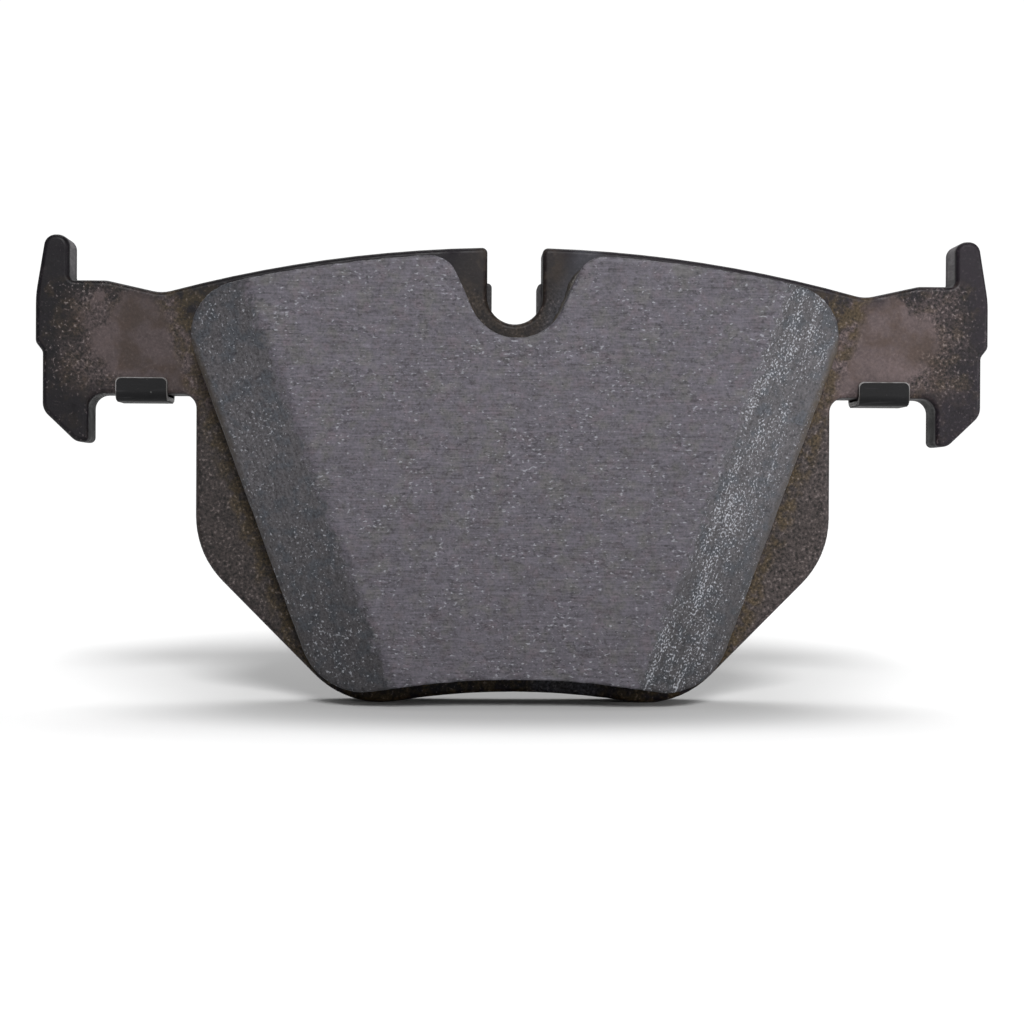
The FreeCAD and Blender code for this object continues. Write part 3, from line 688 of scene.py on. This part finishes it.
def evenly(points, gap):
    """Points a fixed gap apart along a closed outline."""
    spread = []
    for a, b in zip(points, points[1:] + points[:1]):
        length = math.dist(a, b)
        count = max(1, round(length / gap))
        for i in range(count):
            t = i / count
            spread.append((a[0] + (b[0] - a[0]) * t, a[1] + (b[1] - a[1]) * t))
    return spread


def bead_profile(x, z):
    """The bead's section at one point of the outline: distances out and forward, in mm."""
    wide = noise.noise(Vector((x * 0.35, z * 0.35, 2.0)))
    fine = noise.noise(Vector((x * 1.3, z * 1.3, 8.0)))
    reach = max(0.10, 0.32 + 0.38 * wide + 0.16 * fine)
    tall = reach * 0.45
    return [(-0.25, 0.0), (-0.25, tall), (0.05, tall), (0.45 * reach, tall * 0.72),
            (0.8 * reach, tall * 0.34), (reach, 0.02), (reach, 0.0)]


def ring_mesh(name, rings):
    """A closed tube through rings of points in millimetres."""
    corners = [Vector(p) * MM for ring in rings for p in ring]
    deep = len(rings[0])
    faces = []
    for i in range(len(rings)):
        j = (i + 1) % len(rings)
        for k in range(deep):
            n = (k + 1) % deep
            faces.append((i * deep + k, i * deep + n, j * deep + n, j * deep + k))
    mesh = bpy.data.meshes.new(name)
    mesh.from_pydata(corners, [], faces)
    net = bmesh.new()
    net.from_mesh(mesh)
    bmesh.ops.recalc_face_normals(net, faces=net.faces)
    net.to_mesh(mesh)
    net.free()
    mesh.shade_smooth()
    return mesh


def adhesive_bead(node, level):
    """Adhesive pressed out from under the lining: an uneven low bead round its foot."""
    line = evenly(lining_outline(node, level), BEAD_STEP)
    rings = []
    for i, (x, z) in enumerate(line):
        before, after = line[i - 3], line[(i + 3) % len(line)]
        run = Vector((after[0] - before[0], after[1] - before[1]))
        run.normalize()
        out = Vector((run.y, -run.x))
        rings.append([(x + out.x * a, level - b, z + out.y * a) for a, b in bead_profile(x, z)])
    return placed("adhesive_bead", ring_mesh("adhesive_bead", rings))


def make_camera():
    camera = placed("camera", bpy.data.cameras.new("camera"))
    place = Vector(CAMERA_PLACE) * MM
    target = Vector(CAMERA_TARGET) * MM
    turn = (target - place).to_track_quat("-Z", "Y")
    camera.location = place
    camera.rotation_mode = "QUATERNION"
    camera.rotation_quaternion = turn @ Quaternion((0, 0, 1), math.radians(CAMERA_ROLL))
    camera.data.sensor_width = 36
    camera.data.lens = CAMERA_LENS
    camera.data.clip_start = 0.01
    bpy.context.scene.camera = camera


def make_world():
    """Dim light from in front, and bright white paper all round behind."""
    world = bpy.data.worlds.new("studio")
    world.use_nodes = True
    tree = world.node_tree
    ground = tree.nodes["Background"]
    place = tree.nodes.new("ShaderNodeTexCoord")
    parts = tree.nodes.new("ShaderNodeSeparateXYZ")
    run = tree.nodes.new("ShaderNodeMapRange")
    run.interpolation_type = "SMOOTHSTEP"
    run.inputs["From Min"].default_value = -0.35
    run.inputs["From Max"].default_value = 0.45
    run.inputs["To Min"].default_value = SKY_FRONT
    run.inputs["To Max"].default_value = SKY_BACK
    tree.links.new(place.outputs["Generated"], parts.inputs[0])
    tree.links.new(parts.outputs[1], run.inputs["Value"])
    tree.links.new(run.outputs["Result"], ground.inputs["Strength"])
    ground.inputs["Color"].default_value = rgb(1.0, 1.0, 1.0)
    bpy.context.scene.world = world


def sun(name, power, spread, azimuth, elevation):
    """Soft light from far away. Azimuth 0 is from the front, 90 from the right."""
    lamp = bpy.data.lights.new(name, "SUN")
    lamp.energy = power
    lamp.angle = math.radians(spread)
    light = placed(name, lamp)
    a, e = math.radians(azimuth), math.radians(elevation)
    towards = Vector((math.sin(a) * math.cos(e), -math.cos(a) * math.cos(e), math.sin(e)))
    light.rotation_mode = "QUATERNION"
    light.rotation_quaternion = towards.to_track_quat("Z", "Y")


def soft_box(name, power, size, place, target):
    """A square panel of light, in millimetres, that faces a point."""
    lamp = bpy.data.lights.new(name, "AREA")
    lamp.shape = "SQUARE"
    lamp.size = size * MM
    lamp.energy = power
    light = placed(name, lamp)
    light.location = Vector(place) * MM
    light.rotation_mode = "QUATERNION"
    light.rotation_quaternion = (light.location - Vector(target) * MM).to_track_quat("Z", "Y")


def flat_square(name, half, level):
    mesh = bpy.data.meshes.new(name)
    corners = [(-half, -half, level), (half, -half, level), (half, half, level), (-half, half, level)]
    mesh.from_pydata(corners, [], [(0, 1, 2, 3)])
    return placed(name, mesh)


def floor_look(name):
    """White paper, with a painted shadow: greyer round the pad so that its soft shadow comes near the
    photo's.
    """
    look = Look(name)
    depth = look.plus(look.y, PAD_MIDDLE)
    depth = look.number("MAXIMUM", look.times(depth, 0.35), look.times(depth, -2.0))
    across = look.times(look.x, look.step(look.y, -20.0, 60.0, 1.35, 0.95))
    away = look.number("SQRT", look.plus(look.times(across, across), look.times(depth, depth)))
    # Painted shadow: a soft grey patch round the pad.
    painted_shadow = look.step(away, 34.0, 84.0, 1.0, 0.0)
    colour = look.mix(painted_shadow, rgb(0.97, 0.97, 0.97), rgb(0.62, 0.62, 0.62))
    normal = look.bump(look.noise(2.0, 2), 0.004, 0.2)
    return look.finish(colour, 0.9, normal, 0.0, 0.0)


def make_stage(level):
    """A white floor, and a white dome that only the camera sees."""
    floor = flat_square("floor", FLOOR_HALF, level)
    dress(floor, floor_look("paper"))

    mesh = bpy.data.meshes.new("dome")
    net = bmesh.new()
    bmesh.ops.create_icosphere(net, subdivisions=3, radius=DOME_RADIUS)
    net.to_mesh(mesh)
    net.free()
    dome = placed("dome", mesh)
    white = bpy.data.materials.new("white_light")
    white.use_nodes = True
    nodes = white.node_tree.nodes
    glow = nodes.new("ShaderNodeEmission")
    glow.inputs["Strength"].default_value = DOME_GLOW
    white.node_tree.links.new(glow.outputs[0], nodes["Material Output"].inputs["Surface"])
    dress(dome, white)
    for kind in ("diffuse", "glossy", "transmission", "volume_scatter", "shadow"):
        setattr(dome, "visible_" + kind, False)


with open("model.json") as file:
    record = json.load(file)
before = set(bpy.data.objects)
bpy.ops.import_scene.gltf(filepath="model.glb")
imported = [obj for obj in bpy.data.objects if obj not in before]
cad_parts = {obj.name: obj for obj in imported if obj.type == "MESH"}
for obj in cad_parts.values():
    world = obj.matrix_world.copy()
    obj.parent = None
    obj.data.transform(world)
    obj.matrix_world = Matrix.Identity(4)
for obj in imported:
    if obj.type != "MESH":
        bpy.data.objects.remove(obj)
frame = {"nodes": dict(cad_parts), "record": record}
cad_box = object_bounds()
nodes = frame["nodes"]
bpy.context.scene.view_settings.view_transform = "Standard"
make_camera()
make_world()
make_stage(cad_box[0].z)
sun("key", 3.1, 16, 3, 28)
sun("overhead", 1.05, 40, 180, 62)
soft_box("right_fill", 0.75, 140, (290, -200, 0), (30, -7, 5))

face_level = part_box("friction_block")[0].y / MM
plate_low, plate_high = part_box("backing_plate")
plate_front = plate_low.y / MM
lining_end = widest_wall(nodes["friction_block"], end_wall)
lining_throat = widest_wall(nodes["friction_block"], relief_wall)

block = worn_friction_block(nodes["friction_block"], face_level, lining_end)
dress(block, friction_look("ground_friction_compound", face_level, lining_end))
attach(block, "root")
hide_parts("friction_block")

bead = adhesive_bead(nodes["underlayer"], plate_front - ADHESIVE)
dress(bead, film_look("pressed_out_adhesive"))
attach(bead, "root")

spots = {mount["name"]: mount["pos_m"] for mount in frame["record"]["mounts"]}
notch_height = spots["sensor_notch"][2] / MM
ear_out = plate_high.x / MM
plate_paint = plate_look("painted_plate", plate_front, lining_end, lining_throat, notch_height, ear_out)
dress(nodes["backing_plate"], plate_paint)
dress(nodes["bonding_adhesive"], film_look("cured_adhesive"))
dress(nodes["underlayer"], underlayer_look("coarse_underlayer"))
dress(nodes["shim_adhesive"], glue_look("shim_glue_film"))
dress(nodes["shim_inner_rubber"], rubber_look("inner_rubber", (0.010, 0.010, 0.011)))
dress(nodes["shim_core"], steel_look("sheared_steel"))
dress(nodes["shim_outer_rubber"], rubber_look("outer_rubber", (0.003, 0.003, 0.0035)))
